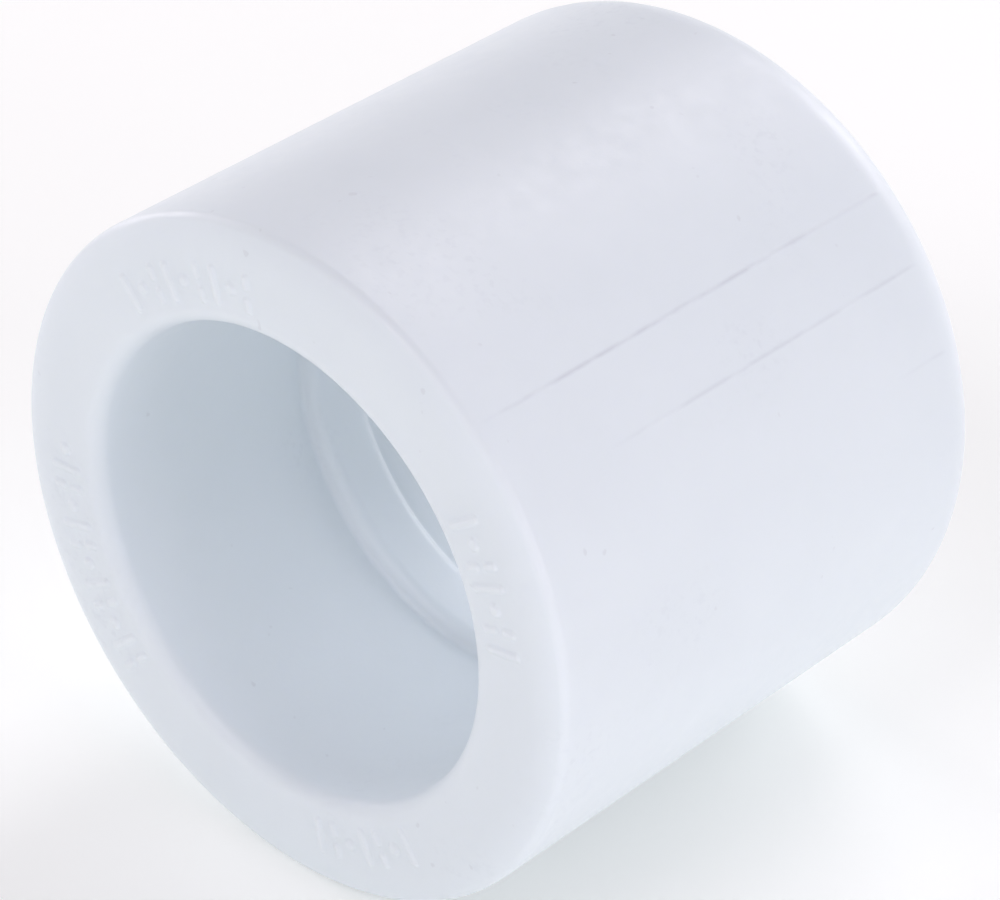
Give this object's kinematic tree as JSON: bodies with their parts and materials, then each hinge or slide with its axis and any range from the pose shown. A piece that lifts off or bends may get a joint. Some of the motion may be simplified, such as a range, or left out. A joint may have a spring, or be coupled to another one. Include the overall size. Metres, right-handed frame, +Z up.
{
  "type": "socket fusion pipe coupling",
  "caption": "Thick-walled white plastic sleeve with rounded ends, a socket in each end for a plastic pipe, and a low stop ring between the sockets.",
  "frame": {"origin": "on the supporting surface, straight below the middle of the coupling, which lies on its side", "axes": "+Z up; the pipe axis runs along Y, and the end face with the raised marks looks towards -Y"},
  "size_m": [0.056, 0.0492, 0.056],
  "materials": {
    "white_polypropylene": "satin, as moulded"
  },
  "bodies": {
    "root": {"coupling_body": "white_polypropylene"}
  },
  "joints": []
}
